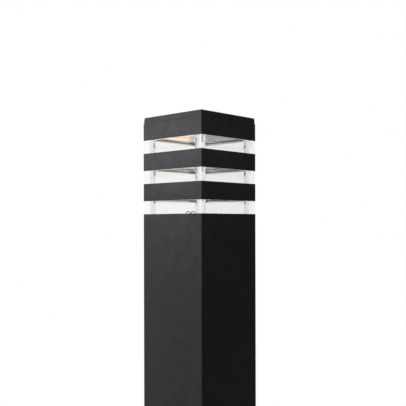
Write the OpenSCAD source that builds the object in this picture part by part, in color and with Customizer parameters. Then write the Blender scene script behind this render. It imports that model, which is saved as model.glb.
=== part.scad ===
// Square post light: three clear windows and three bands stacked on a square post,
// which stands over a spigot on a foot plate. Millimetres, +Z up, origin at the middle
// of the underside of the foot plate.

/* [Overall] */
// Width of the square post
body_w = 120; // [90:1:160]
// Height from the ground to the top of the lid
total_h = 800; // [600:5:1100]
// Radius on the upright edges
edge_r = 0.8; // [0.4:0.1:2]

/* [Post] */
// Wall of the post and of the bands
wall_t = 3; // [2.5:0.1:4]

/* [Head] */
// Height of each band
band_h = 26; // [21:0.5:36]
// Height of each clear window
window_h = 19.5; // [14:0.5:30]
// Height of the lid above its gasket
lid_h = 7.7; // [6:0.1:12]
// Step from the band's face to the foot of the lid
lid_step = 0.4; // [0.2:0.1:1]
// How far the lid's sides lean in from foot to top
lid_lean = 0.8; // [0.2:0.1:2]
// Thickness of the lid gasket, the dark line under the lid
lid_gasket_t = 0.8; // [0.6:0.1:1.5]

/* [Clear rings] */
// How far the clear ring stands back from the band's face
ring_step = 0.3; // [0.1:0.1:1]
// Wall of the clear ring
ring_t = 8; // [6:0.1:10]
// Height of the tongue that goes into the piece above or below
tongue_h = 6; // [5:0.1:7.5]
// Gap around the tongue
tongue_fit = 0.2; // [0.1:0.05:0.4]
// Height of the lug that a fixing screw holds down
lug_t = 3; // [2.4:0.1:3.6]
// Width of the lug
lug_w = 12; // [9:0.5:15]
// Depth of the seal groove in a tongue
seal_d = 0.9; // [0.7:0.1:1.2]
// Height of the seal groove
seal_h = 2; // [1.6:0.1:2.4]

/* [Corner pillars] */
// Diameter of the bright pillars inside the corners of the windows
pillar_d = 7.4; // [5:0.1:8]
// Gap between a pillar and the clear ring
pillar_gap = 0.3; // [0.2:0.1:0.6]

/* [Reflectors] */
// Thickness of the web inside a band
web_t = 3; // [2.4:0.1:4]
// Gap between a web and the tongue under it
web_gap = 0.2; // [0.1:0.1:0.5]
// Reflector sheet thickness
sheet_t = 1; // [0.8:0.1:1.2]
// Height of the reflector's rim above the band's lower edge
rim_up = 3; // [2.4:0.1:3.6]
// Distance from the sheet's edges to a rivet
rivet_in = 15; // [12:0.5:18]
// Gap between the reflector and the clear ring
sheet_fit = 0.2; // [0.1:0.1:0.4]
// Distance from the clear ring to the light aperture
aperture_in = 13.7; // [11:0.1:17]

/* [Ground base] */
// Foot plate thickness
plate_t = 8; // [6:0.5:12]
// Height of the spigot above the plate
spigot_h = 70; // [55:1:90]
// Spigot wall
spigot_t = 6; // [5:0.1:8]
// Gap between the spigot and the post on each side
spigot_fit = 0.3; // [0.2:0.05:0.6]
// Anchor hole diameter
anchor_d = 11; // [9:0.5:14]
// Distance from the spigot's inner face to an anchor hole's centre
anchor_in = 12.7; // [11:0.1:16]
// Cable entry diameter
cable_d = 40; // [25:1:48]
// Width of the four drain channels under the plate
drain_w = 6; // [4:0.5:8]
// Depth of the drain channels
drain_d = 2; // [1:0.5:3]

/* [Grub screws] */
// Height of the screws above the ground
grub_z = 40; // [34:1:50]
// Nominal screw diameter
grub_d = 6; // [5:0.5:8]
// Radius of the nut's collar behind the wall
collar_r = 6.5; // [5.5:0.1:8]
// Thickness of the collar
collar_t = 1.5; // [1:0.1:2]
// Depth of the channel that the collar runs in
channel_d = 3.2; // [2.8:0.1:4]

/* [Light source] */
// Distance from the ring bosses to the circuit board
board_in = 9.5; // [7:0.1:12]
// Circuit board thickness
board_t = 1.6; // [1.2:0.1:2.4]
// Diameter of the light-emitting spot
emitter_d = 12; // [9:0.5:15]
// Gap between the lens holder and the lead grommet
lens_gap = 0.2; // [0.1:0.1:1]
// Distance from the lens to the top of the post
lens_down = 3; // [2:0.1:4]
// Lead wire diameter
lead_d = 1.2; // [1:0.1:1.6]
// Span of each lead's loop, from leg to leg
loop_w = 5.7; // [5:0.1:6.5]
// Height of the loops above the top of the post
loop_up = 4.2; // [3:0.1:6]

/* [Control gear] */
// Thickness of the head flange
flange_t = 4; // [3:0.1:6]
// Height of the cooling fins
fin_h = 14; // [10:0.5:20]
// Tray width
tray_w = 80; // [64:1:84]
// Tray length
tray_l = 250; // [220:1:300]
// Tray sheet thickness
tray_t = 2; // [1.5:0.1:2.5]
// Driver width
driver_w = 60; // [48:1:64]
// Driver depth
driver_d = 32; // [26:1:38]
// Driver length
driver_l = 120; // [100:1:135]
// Distance from the flange down to the driver
driver_down = 28; // [22:1:34]

/* [Fasteners] */
// Small screw diameter
small_d = 3; // [2.5:0.1:3.2]
// Large screw diameter
large_d = 4; // [3.5:0.1:5]
// Radial gap between a screw and its hole
screw_fit = 0.05; // [0.03:0.01:0.1]

/* [Hidden] */
$fn = 64;
cut = 1;                                   // how far a cutting shape runs past a face

// Heights, from the ground up
step_h = window_h + band_h;
head_h = 3 * step_h + lid_gasket_t + lid_h;
post_top = total_h - head_h;
windows = [for (i = [0:2]) post_top + i * step_h];
bands = [for (z = windows) z + window_h];
lid_z = bands[2] + band_h + lid_gasket_t;

// Widths across the flats
bore_w = body_w - 2 * wall_t;
tongue_w = bore_w - 2 * tongue_fit;
ring_w = body_w - 2 * ring_step;
ring_in_w = ring_w - 2 * ring_t;
ring_corner_r = 0.3;                       // inside corners; the reflector's square corners clear them
spigot_w = bore_w - 2 * spigot_fit;
well_w = spigot_w - 2 * spigot_t;
flange_w = tongue_w;

// Screws and the bosses that take them
small_r = small_d / 2;
large_r = large_d / 2;
small_hole_r = small_r + screw_fit;
small_head_h = 1.8;
large_head_h = 2.6;
large_hole_r = large_r + screw_fit;
head_share = 1.8;                          // a screw head's radius over its shank's
boss_wall = 2.5;
boss_r = small_r + boss_wall;
lug_l = 2 * boss_r - 0.3;
boss_c = ring_in_w / 2 - boss_r - 0.2;
web_z = tongue_h + web_gap;
boss_h = band_h - web_z - web_t - tongue_h;
boss_floor = 2;
seal_wall = 0.15;                          // left between a band screw's hole and the seal groove
tongue_c = tongue_w / 2 - seal_d - seal_wall - small_hole_r;
lug_side = 14;
flange_bolt = [bore_w / 2 - lug_side / 2, bore_w / 2 - 1.5 * lug_side];
lid_boss_r = large_r + 2.8;
lid_c = bore_w / 2 - 9;

// Corner pillars
pillar_r = pillar_d / 2;
pillar_c = ring_in_w / 2 - pillar_gap - pillar_r;
pin_r = 1.5;
pin_l = 1.2;
pin_fit = 0.1;

// Reflectors
sheet_w = ring_in_w - 2 * sheet_fit;
sheet_rise = web_z - sheet_t - rim_up;     // from the rim to the peak, which touches the web
aperture_r = ring_in_w / 2 - aperture_in;
rivet_c = sheet_w / 2 - rivet_in;
rivet_z = rim_up + sheet_rise * rivet_in / (sheet_w / 2);
spacer_r = 2.6;
rivet_r = 1.6;
rivet_head_r = 2.9;
rivet_head_h = 0.9;
rivet_seat = 0.16;                         // keeps the flat heads off the sheet's slope

// Light source
flange_z = post_top - tongue_h - boss_h;   // top face of the flange
board_z = flange_z + board_t;
board_r = boss_c - boss_r - board_in;
holder_t = 1.5;
lens_fit = 0.1;
grommet_r = 3.2;
grommet_lip = 0.7;
grommet_hole_r = 1.9;
lead_r = board_r - 7.3;
lens_r = lead_r - grommet_r - grommet_lip - lens_gap - holder_t - lens_fit;
lens_h = post_top - lens_down - board_z;
lens_seat_r = emitter_d / 2 + 1;
emitter_h = 0.8;
lead_turn = 199;
loop_turn = -45;
leg_gap = lead_d + 0.1;                    // between the two legs that share the grommet
lead_x = lead_r * cos(lead_turn);
lead_y = lead_r * sin(lead_turn);
board_screw_c = board_r - 4;
board_screw_turns = [30, 110, 300];

// Control gear
flange_under = flange_z - flange_t;
tray_y = 6;                                // front face of the tray
fin_t = 2;
fin_pitch = 6;
fin_edge = 10;
foot_gap = 1.8;                            // between the tray's foot and the nearest fin or lug
driver_top = flange_under - driver_down;
driver_x = lead_x + driver_w / 2 - 5;
driver_z = driver_top - driver_l;
terminal_w = 34;
terminal_h = 20;
terminal_d = 18;
lead_run = 24;                             // from the driver down to the terminals
terminal_z = driver_z - lead_run - terminal_h;
clamp_w = 30;
clamp_z = terminal_z - 32;
tray_z = flange_under - tray_l;
tray_back = tray_y + tray_t;
foot_d = flange_w / 2 - fin_edge - fin_pitch - fin_t / 2 - foot_gap - tray_back;
foot_w = min(tray_w, 2 * (flange_bolt[0] - lug_side / 2 - foot_gap));   // clear of the side lugs
blind_depth = 3;                           // depth of the blind holes in the flange
pole_pitch = 10;
well_depth = 6;                            // of the wells over the terminal screws
wire_r = 1.2;
nut_h = 3.2;
ring_tag_t = 1;

// Anchors, nuts and grub screws
anchor_c = well_w / 2 - anchor_in;
nut_r = grub_d / 2 + 1.5;
nut_fit = 0.02;
channel_w = 2 * collar_r + 2;
channel_under = 3;
tip_gap = 0.05;
grub_back_off = 0.5;                       // how far the screw sits below the post's face
seat_x = spigot_w / 2 - channel_d;
grub_l = body_w / 2 - grub_back_off - seat_x - tip_gap;

// Square with rounded corners, built from exact arcs
module rounded(w, r) {
  square([w, w - 2 * r], center = true);
  square([w - 2 * r, w], center = true);
  for (x = [-1, 1], y = [-1, 1]) translate([x * (w / 2 - r), y * (w / 2 - r)]) circle(r);
}

module block(w, r, z0, z1) {
  translate([0, 0, z0]) linear_extrude(z1 - z0) rounded(w, r);
}

// Square bore that runs past both ends
module hollow(w, z0, z1) {
  translate([0, 0, z0 - cut]) linear_extrude(z1 - z0 + 2 * cut) square(w, center = true);
}

module rod(r, z0, z1) {
  translate([0, 0, z0]) cylinder(r = r, h = z1 - z0);
}

module hex_rod(r, z0, z1) {
  translate([0, 0, z0]) cylinder(r = r, h = z1 - z0, $fn = 6);
}

module four_corners(c) {
  for (x = [-1, 1], y = [-1, 1]) translate([x * c, y * c, 0]) children();
}

// Places of the four bolts between the flange and its lugs
module flange_bolts() {
  for (x = [-1, 1], y = [-1, 1]) translate([x * flange_bolt[0], y * flange_bolt[1], 0]) children();
}

module four_sides(c) {
  for (a = [0, 90, 180, 270]) rotate(a) translate([c, 0, 0]) children();
}

// Screw standing on z = 0 under its head, shank down, hex socket in the head
module cap_screw(r, len, head_h) {
  difference() {
    union() {
      rod(r, -len, 0);
      rod(r * head_share, 0, head_h);
    }
    hex_rod(r * 0.95, head_h * 0.4, head_h + cut);
  }
}

// Screw driven along +Y, its head seated at place = [x, y, z]
module side_screw(place, r, len) {
  translate(place) rotate([90, 0, 0]) cap_screw(r, len, small_head_h);
}

// Round bar along Y from place = [x, z], between two depths
module side_rod(place, r, y0, y1) {
  translate([place[0], y1, place[1]]) rotate([90, 0, 0]) rod(r, 0, y1 - y0);
}

// ---- Ground base ----
module ground_base() {
  color("#2b2c2e") difference() {
    union() {
      block(body_w, edge_r, 0, plate_t);
      block(spigot_w, 2, plate_t - cut, plate_t + spigot_h);
    }
    translate([0, 0, plate_t]) linear_extrude(spigot_h + cut) rounded(well_w, 3);
    rod(cable_d / 2, -cut, plate_t + cut);
    four_corners(anchor_c) rod(anchor_d / 2, -cut, plate_t + cut);
    four_sides(spigot_w / 2)
      translate([-channel_d, -channel_w / 2, grub_z - collar_r - channel_under])
        cube([channel_d + cut, channel_w, plate_t + spigot_h]);
    for (a = [0, 90]) rotate(a)
      translate([-body_w, -drain_w / 2, -cut]) cube([2 * body_w, drain_w, drain_d + cut]);
  }
}

// ---- Post ----
module post_tube() {
  color("#2b2c2e") difference() {
    block(body_w, edge_r, plate_t, post_top);
    hollow(bore_w, plate_t, post_top);
    four_sides(bore_w / 2) translate([0, 0, grub_z])
      rotate([0, 90, 0]) rod(nut_r + nut_fit, -cut, wall_t + cut);
  }
}

module press_nuts() {
  color("#b9a56a") four_sides(bore_w / 2) translate([0, 0, grub_z]) rotate([0, 90, 0]) difference() {
    union() {
      rod(nut_r, -collar_t, wall_t - 0.2);
      rod(collar_r, -collar_t, 0);
    }
    rod(grub_d / 2 + screw_fit, -collar_t - cut, wall_t + cut);
  }
}

module grub(turn) {
  socket_r = grub_d * 0.29;
  color("#8e9093") rotate(turn) translate([seat_x + tip_gap, 0, grub_z]) rotate([0, 90, 0]) difference() {
    rod(grub_d / 2, 0, grub_l);
    hex_rod(socket_r, grub_l / 2, grub_l + cut);
  }
}

module grub_right() { grub(0); }
module grub_back() { grub(90); }
module grub_left() { grub(180); }
module grub_front() { grub(270); }

module side_lugs() {
  lug_h = 10;
  color("#4a4c4f") difference() {
    flange_bolts()
      translate([0, 0, flange_under - lug_h / 2]) cube([lug_side, lug_side, lug_h], center = true);
    flange_bolts() rod(large_hole_r, flange_under - lug_h - cut, flange_under + cut);
  }
}

// ---- Head flange and light source ----
module head_flange() {
  fin_x = flange_w - 44;
  fin_edge_y = flange_w / 2 - fin_edge;
  front_rows = [for (i = [0:2]) -fin_edge_y + i * fin_pitch];
  back_rows = [for (i = [0:1]) fin_edge_y - i * fin_pitch];
  color("#a9abad") difference() {
    union() {
      block(flange_w, 1, flange_under, flange_z);
      four_sides(boss_c) rod(boss_r, flange_z - cut, flange_z + boss_h);
      for (y = concat(front_rows, back_rows))
        translate([-fin_x / 2, y - fin_t / 2, flange_under - fin_h]) cube([fin_x, fin_t, fin_h + cut]);
    }
    four_sides(boss_c) rod(small_hole_r, flange_z + boss_floor, flange_z + boss_h + cut);
    flange_bolts() rod(large_hole_r, flange_under - cut, flange_z + cut);
    pin_holes(flange_z, 1);
    translate([lead_x, lead_y, 0]) rod(grommet_r, flange_under - cut, flange_z + cut);
    for (a = board_screw_turns) rotate(a)
      translate([board_screw_c, 0, 0]) rod(small_hole_r, flange_z - blind_depth, flange_z + cut);
    tray_bolts() rod(large_hole_r, flange_under - cut, flange_under + blind_depth);
  }
}

module flange_screws() {
  color("#c3c5c7") flange_bolts()
    translate([0, 0, flange_z]) cap_screw(large_r, flange_t + 8, large_head_h);
}

module led_board() {
  color("#eceeec") difference() {
    rod(board_r, flange_z, board_z);
    translate([lead_x, lead_y, 0]) rod(grommet_r, flange_z - cut, board_z + cut);
    for (a = board_screw_turns) rotate(a)
      translate([board_screw_c, 0, 0]) rod(small_hole_r, flange_z - cut, board_z + cut);
  }
}

module board_screws() {
  color("#c3c5c7") for (a = board_screw_turns)
    rotate(a) translate([board_screw_c, 0, board_z]) cap_screw(small_r, board_t + 2.8, small_head_h);
}

module led_emitter() {
  color("#e9c65a") rod(emitter_d / 2, board_z, board_z + emitter_h);
}

// Solid collimating lens over the emitter, standing in a short black holder
module led_lens() {
  color("#dfe9ee", 0.5) translate([0, 0, board_z]) rotate_extrude() polygon([
    [0, emitter_h + 1], [lens_seat_r - 1, emitter_h + 1], [lens_seat_r - 1, 0.1], [lens_seat_r, 0.1],
    [lens_r, lens_h - 1.5], [lens_r, lens_h], [0, lens_h]
  ]);
}

module lens_holder() {
  in_r = lens_r + lens_fit;
  color("#1d1d1f") translate([0, 0, board_z]) difference() {
    rod(in_r + holder_t, 0, lens_h - 1.5);
    rod(in_r, -cut, lens_h);
  }
}

module lead_grommet() {
  color("#26262a") translate([lead_x, lead_y, 0]) difference() {
    union() {
      rod(grommet_r - 0.02, flange_under, board_z);
      rod(grommet_r + grommet_lip, board_z, board_z + grommet_lip);
      rod(grommet_r + grommet_lip, flange_under - grommet_lip, flange_under);
    }
    rod(grommet_hole_r, flange_under - grommet_lip - cut, board_z + grommet_lip + cut);
  }
}

// Each lead comes up through the grommet, loops over and goes down to its pad on the board
module led_leads() {
  lead_wire_r = lead_d / 2;
  loop_r = loop_w / 2;
  loop_z = post_top + loop_up - loop_r - lead_wire_r;
  inner_leg = leg_gap / 2;
  color("#a7a2a4") translate([lead_x, lead_y, 0]) rotate(loop_turn) for (s = [-1, 1]) {
    translate([s * inner_leg, 0, 0]) rod(lead_wire_r, driver_top, loop_z);
    translate([s * (inner_leg + loop_w), 0, 0]) rod(lead_wire_r, board_z, loop_z);
    translate([s * (inner_leg + loop_r), 0, loop_z]) rotate([90, 0, 0])
      rotate_extrude(angle = 180) translate([loop_r, 0]) circle(lead_wire_r);
  }
}

// ---- Clear rings ----
module ring(z) {
  low = z - tongue_h;
  high = z + window_h + tongue_h;
  color("#dfe6ea", 0.35) difference() {
    union() {
      block(ring_w, 1, z, z + window_h);
      block(tongue_w, 1, low, high);
    }
    difference() {
      translate([0, 0, low - cut]) linear_extrude(high - low + 2 * cut) rounded(ring_in_w, ring_corner_r);
      four_sides(ring_in_w / 2 - lug_l)
        translate([0, -lug_w / 2, low]) cube([lug_l + cut, lug_w, lug_t]);
    }
    four_sides(boss_c) rod(small_hole_r, low - cut, low + lug_t + cut);
    four_corners(tongue_c) rod(small_hole_r, high - tongue_h + 0.8, high + cut);
    for (g = [low, high - tongue_h]) seal_groove(g + (tongue_h - seal_h) / 2);
  }
}

module seal_groove(z) {
  difference() {
    translate([0, 0, z]) linear_extrude(seal_h) square(body_w, center = true);
    translate([0, 0, z - cut]) linear_extrude(seal_h + 2 * cut) square(tongue_w - 2 * seal_d, center = true);
  }
}

module ring_low() { ring(windows[0]); }
module ring_mid() { ring(windows[1]); }
module ring_top() { ring(windows[2]); }

module ring_seals() {
  gap = 0.05;
  color("#3a3a3c") for (z = windows, g = [z - tongue_h, z + window_h])
    translate([0, 0, g + (tongue_h - seal_h) / 2 + gap]) linear_extrude(seal_h - 2 * gap) difference() {
      square(bore_w - 2 * gap, center = true);
      square(tongue_w - 2 * seal_d + 2 * gap, center = true);
    }
}

module ring_screws() {
  shank_l = lug_t + boss_h - boss_floor - 0.5;
  color("#c3c5c7") for (z = windows) four_sides(boss_c)
    translate([0, 0, z - tongue_h + lug_t]) cap_screw(small_r, shank_l, small_head_h);
}

// ---- Corner pillars ----
// Blind holes for the pillars' pins, sunk from z up (side = -1) or down (side = 1)
module pin_holes(z, side) {
  depth = pin_l + pin_fit;
  four_corners(pillar_c) rod(pin_r + pin_fit / 2, z - (side > 0 ? depth : cut), z + (side > 0 ? cut : depth));
}

// Each pillar stands between two floors of the head, with a short pin at either end
module corner_pillars() {
  floors = [flange_z, bands[0] + web_z + web_t, bands[1] + web_z + web_t];
  color("#d5d8da") for (i = [0:2]) four_corners(pillar_c) {
    rod(pillar_r, floors[i], bands[i] + web_z);
    rod(pin_r, floors[i] - pin_l, bands[i] + web_z + pin_l);
  }
}

// ---- Bands ----
module band(z, is_cap) {
  web = z + web_z;
  color("#2b2c2e") difference() {
    union() {
      difference() {
        block(body_w, edge_r, z, z + band_h);
        hollow(bore_w, z, z + band_h);
      }
      translate([0, 0, web]) linear_extrude(web_t) square(bore_w + 0.2, center = true);
      if (is_cap) four_corners(lid_c) rod(lid_boss_r, web, z + band_h);
      else four_sides(boss_c) rod(boss_r, web, web + web_t + boss_h);
    }
    four_corners(tongue_c) rod(small_hole_r, web - cut, web + web_t + cut);
    four_corners(rivet_c) rod(rivet_r + screw_fit, web - cut, web + web_t + cut);
    if (is_cap) four_corners(lid_c) rod(large_hole_r, web + web_t + boss_floor, z + band_h + cut);
    else four_sides(boss_c) rod(small_hole_r, web + web_t + boss_floor, web + web_t + boss_h + cut);
    if (!is_cap) rod(aperture_r, web - cut, web + web_t + cut);
    pin_holes(web, -1);
    if (!is_cap) pin_holes(web + web_t, 1);
  }
}

module band_low() { band(bands[0], false); }
module band_mid() { band(bands[1], false); }
module band_cap() { band(bands[2], true); }

module band_screws() {
  color("#c3c5c7") for (z = bands) four_corners(tongue_c)
    translate([0, 0, z + web_z + web_t]) cap_screw(small_r, web_t + web_gap + tongue_h - 1, small_head_h);
}

// ---- Reflectors ----
// Low pyramid on a square outline
module pyramid(w, h) {
  linear_extrude(height = h, scale = 0) square(w, center = true);
}

// Outline that clears a pillar and opens out to the sheet's corner
module pillar_notch(r) {
  circle(r);
  translate([0, -r]) square(2 * r);
  translate([-r, 0]) square(2 * r);
}

// Bright sheet folded along its diagonals, its peak up against the web
module reflector(z, open) {
  edge = 0.4;
  top = sheet_rise + sheet_t;
  color("#d9dcdf") translate([0, 0, z + rim_up]) difference() {
    union() {
      translate([0, 0, sheet_t / 2]) cube([sheet_w, sheet_w, sheet_t], center = true);
      translate([0, 0, sheet_t]) pyramid(sheet_w, sheet_rise);
    }
    translate([0, 0, -cut]) linear_extrude(cut + 0.01) square(sheet_w - 2 * edge, center = true);
    pyramid(sheet_w - 2 * edge, sheet_rise);
    four_corners(rivet_c) rod(rivet_r + screw_fit, -cut, top + cut);
    for (a = [0, 90, 180, 270]) rotate(a) translate([pillar_c, pillar_c, -cut])
      linear_extrude(top + 2 * cut) pillar_notch(pillar_r + pillar_gap);
    if (open) rod(aperture_r, -cut, top + cut);
  }
}

module reflector_low() { reflector(bands[0], true); }
module reflector_mid() { reflector(bands[1], true); }
module reflector_cap() { reflector(bands[2], false); }

// Each rivet has a spacer collar between the sheet and the web
module reflector_rivets() {
  color("#c9cccf") for (z = bands) four_corners(rivet_c) translate([0, 0, z]) {
    rod(rivet_r, rivet_z - rivet_seat, web_z + web_t);
    rod(rivet_head_r, rivet_z - rivet_head_h - rivet_seat, rivet_z - rivet_seat);
    rod(spacer_r, rivet_z + sheet_t + rivet_seat, web_z);
    rod(rivet_head_r, web_z + web_t, web_z + web_t + rivet_head_h);
  }
}

// ---- Lid ----
module lid() {
  foot_w = body_w - 2 * lid_step;
  top_w = foot_w - 2 * lid_lean;
  plate = 4.5;
  rim_h = 4;
  rim_w = tongue_w;
  sink_r = large_r * 2;
  color("#2b2c2e") difference() {
    union() {
      translate([0, 0, lid_z]) linear_extrude(height = lid_h, scale = top_w / foot_w) rounded(foot_w, edge_r);
      block(rim_w, 1, lid_z - lid_gasket_t - rim_h, lid_z + cut);
    }
    block(rim_w - 5, 1, lid_z - lid_gasket_t - rim_h - cut, lid_z + lid_h - plate);
    four_corners(lid_c) rod(large_hole_r, lid_z, lid_z + lid_h + cut);
    four_corners(lid_c) translate([0, 0, lid_z + lid_h - sink_r + large_r])
      cylinder(r1 = large_hole_r, r2 = sink_r + screw_fit, h = sink_r - large_r + 0.01);
  }
}

module lid_gasket() {
  color("#161617") translate([0, 0, lid_z - lid_gasket_t]) linear_extrude(lid_gasket_t) difference() {
    square(body_w - 2 * wall_t / 3, center = true);
    square(bore_w, center = true);
  }
}

// Countersunk screws with a pin in the socket
module lid_screws() {
  sink_r = large_r * 2;
  sink_h = sink_r - large_r;
  socket_depth = 1.4;
  top = lid_z + lid_h;
  foot = bands[2] + web_z + web_t + boss_floor + 1;
  color("#77797c") four_corners(lid_c) difference() {
    union() {
      rod(large_r, foot, top);
      translate([0, 0, top - sink_h]) cylinder(r1 = large_r, r2 = sink_r, h = sink_h);
    }
    difference() {
      hex_rod(large_r * 0.75, top - socket_depth, top + cut);
      rod(large_r * 0.25, top - 2, top - 0.3);
    }
  }
}

// ---- Control gear, hung under the flange ----
ear_h = 8;
ear_w = 16;
ear_t = 3;
driver_holes = [[driver_x, driver_top + ear_h / 2], [driver_x, driver_z - ear_h / 2]];
terminal_holes = [for (x = [-1, 1]) [x * (terminal_w / 2 - 3), terminal_z + terminal_h / 2]];
terminal_front = tray_y - terminal_d;
poles = [for (i = [-1:1], share = [1, 3]) [i * pole_pitch, terminal_z + terminal_h * share / 4]];
saddle_t = 3;
clamp_holes = [for (x = [-1, 1]) [x * (clamp_w / 2 - 4), clamp_z]];
earth_place = [tray_w / 2 - 9, terminal_z + terminal_h / 2];

// Places of the two bolts between the tray's foot and the flange
module tray_bolts() {
  for (x = [-1, 1]) translate([x * foot_w / 4, tray_back + foot_d / 2, 0]) children();
}

module gear_tray() {
  color("#b4b7ba") difference() {
    union() {
      translate([-tray_w / 2, tray_y, tray_z]) cube([tray_w, tray_t, tray_l]);
      translate([-foot_w / 2, tray_y, flange_under - tray_t]) cube([foot_w, tray_t + foot_d, tray_t]);
    }
    tray_bolts() rod(large_hole_r, flange_under - tray_t - cut, flange_under + cut);
    for (p = concat(driver_holes, terminal_holes, clamp_holes))
      side_rod(p, small_hole_r, tray_y - cut, tray_back + cut);
    side_rod(earth_place, large_hole_r, tray_y - cut, tray_back + cut);
  }
}

module tray_screws() {
  color("#c3c5c7") tray_bolts() translate([0, 0, flange_under - tray_t])
    mirror([0, 0, 1]) cap_screw(large_r, tray_t + blind_depth - 0.2, large_head_h);
}

module led_driver() {
  color("#e6e5df") difference() {
    union() {
      translate([driver_x - driver_w / 2, tray_y - driver_d, driver_z]) cube([driver_w, driver_d, driver_l]);
      translate([driver_x - ear_w / 2, tray_y - ear_t, driver_z - ear_h])
        cube([ear_w, ear_t, driver_l + 2 * ear_h]);
    }
    for (p = driver_holes) side_rod(p, small_hole_r, tray_y - ear_t - cut, tray_y + cut);
  }
}

module driver_screws() {
  color("#c3c5c7") for (p = driver_holes)
    side_screw([p[0], tray_y - ear_t, p[1]], small_r, ear_t + tray_t + 2);
}

// Two leads, straight up from the terminals into the driver
module driver_leads() {
  color("#6b4a35") for (x = [-pole_pitch, 0])
    translate([x, tray_y - terminal_d / 2, 0]) rod(wire_r, terminal_z + terminal_h, driver_z);
}

module terminal_block() {
  well_r = 2.2;
  color("#f2f1ea") difference() {
    translate([-terminal_w / 2, terminal_front, terminal_z]) cube([terminal_w, terminal_d, terminal_h]);
    for (p = poles) side_rod(p, well_r, terminal_front - cut, terminal_front + well_depth);
    for (p = terminal_holes) side_rod(p, small_hole_r, terminal_front - cut, tray_y + cut);
  }
}

// Slotted brass screws down in the wells, and the two that hold the block
module terminal_screws() {
  pole_r = 2;
  pole_h = 3.5;
  slot_w = 0.8;
  color("#c9b06a") {
    for (p = poles) difference() {
      side_rod(p, pole_r, terminal_front + well_depth - pole_h, terminal_front + well_depth);
      translate([p[0], terminal_front + well_depth - pole_h, p[1]])
        cube([2 * pole_r + cut, 2, slot_w], center = true);
    }
    for (p = terminal_holes) side_screw([p[0], terminal_front, p[1]], small_r, terminal_d + tray_t + 2);
  }
}

// Saddle that grips the supply cable's sheath against the tray, with its two screws
module cable_clamp() {
  saddle_r = 6;
  saddle_h = 10;
  low = clamp_z - saddle_h / 2;
  color("#d8d8d2") difference() {
    union() {
      translate([-clamp_w / 2, tray_y - saddle_t, low]) cube([clamp_w, saddle_t, saddle_h]);
      translate([0, tray_y, low]) cylinder(r = saddle_r + 2.5, h = saddle_h);
    }
    translate([0, tray_y, low - cut]) cylinder(r = saddle_r, h = saddle_h + 2 * cut);
    translate([-clamp_w, tray_y, low - cut]) cube([2 * clamp_w, 20, saddle_h + 2 * cut]);
    for (p = clamp_holes) side_rod(p, small_hole_r, tray_y - saddle_t - cut, tray_y + cut);
  }
}

module clamp_screws() {
  color("#c3c5c7") for (p = clamp_holes)
    side_screw([p[0], tray_y - saddle_t, p[1]], small_r, saddle_t + tray_t + 2);
}

// Earth stud through the tray, its head behind
module earth_stud() {
  color("#c9b06a") {
    side_rod(earth_place, large_r, tray_y - 14, tray_back);
    side_rod(earth_place, large_r * head_share, tray_back, tray_back + large_head_h);
  }
}

// One nut on each side of the ring on the earth lead
module earth_nuts() {
  color("#c9b06a") for (y = [0, nut_h + ring_tag_t]) translate([earth_place[0], tray_y - y, earth_place[1]])
    rotate([90, 0, 0]) difference() {
      hex_rod(large_r * 2, 0, nut_h);
      rod(large_hole_r, -cut, nut_h + cut);
    }
}

// Up from the terminals, over and down to a ring tag on the stud
module earth_lead() {
  x0 = pole_pitch;
  x1 = earth_place[0];
  arch_r = (x1 - x0) / 2;
  arch_z = terminal_z + terminal_h + 3;
  tag_back = tray_y - nut_h;
  wire_y = tag_back - ring_tag_t / 2;
  tag_r = large_r * 2.1;
  stem_h = tag_r + 2;
  color("#5b8a3c") {
    translate([x0, wire_y, 0]) rod(wire_r, terminal_z + terminal_h, arch_z);
    translate([x0 + arch_r, wire_y, arch_z]) rotate([90, 0, 0])
      rotate_extrude(angle = 180) translate([arch_r, 0]) circle(wire_r);
    translate([x1, wire_y, 0]) rod(wire_r, earth_place[1] + stem_h, arch_z);
    difference() {
      union() {
        side_rod(earth_place, tag_r, tag_back - ring_tag_t, tag_back);
        translate([x1 - wire_r, tag_back - ring_tag_t, earth_place[1]])
          cube([2 * wire_r, ring_tag_t, stem_h]);
      }
      side_rod(earth_place, large_hole_r, tag_back - ring_tag_t - cut, tag_back + cut);
    }
  }
}

ground_base();
post_tube();
press_nuts();
side_lugs();
head_flange();
flange_screws();
led_board();
board_screws();
led_emitter();
led_lens();
lens_holder();
lead_grommet();
led_leads();
ring_low();
ring_mid();
ring_top();
ring_seals();
ring_screws();
corner_pillars();
band_low();
band_mid();
band_cap();
band_screws();
reflector_low();
reflector_mid();
reflector_cap();
reflector_rivets();
lid();
lid_gasket();
lid_screws();
gear_tray();
tray_screws();
led_driver();
driver_screws();
driver_leads();
terminal_block();
terminal_screws();
cable_clamp();
clamp_screws();
earth_stud();
earth_nuts();
earth_lead();
grub_right();
grub_back();
grub_left();
grub_front();
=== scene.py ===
# %% [markdown]
# # Square post light with clear windows
# The design is already settled in the CAD model: this file only gives it its looks.
# We load the model first, and every size and place below is read from it.

# %% Load the frame
import math

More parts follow.
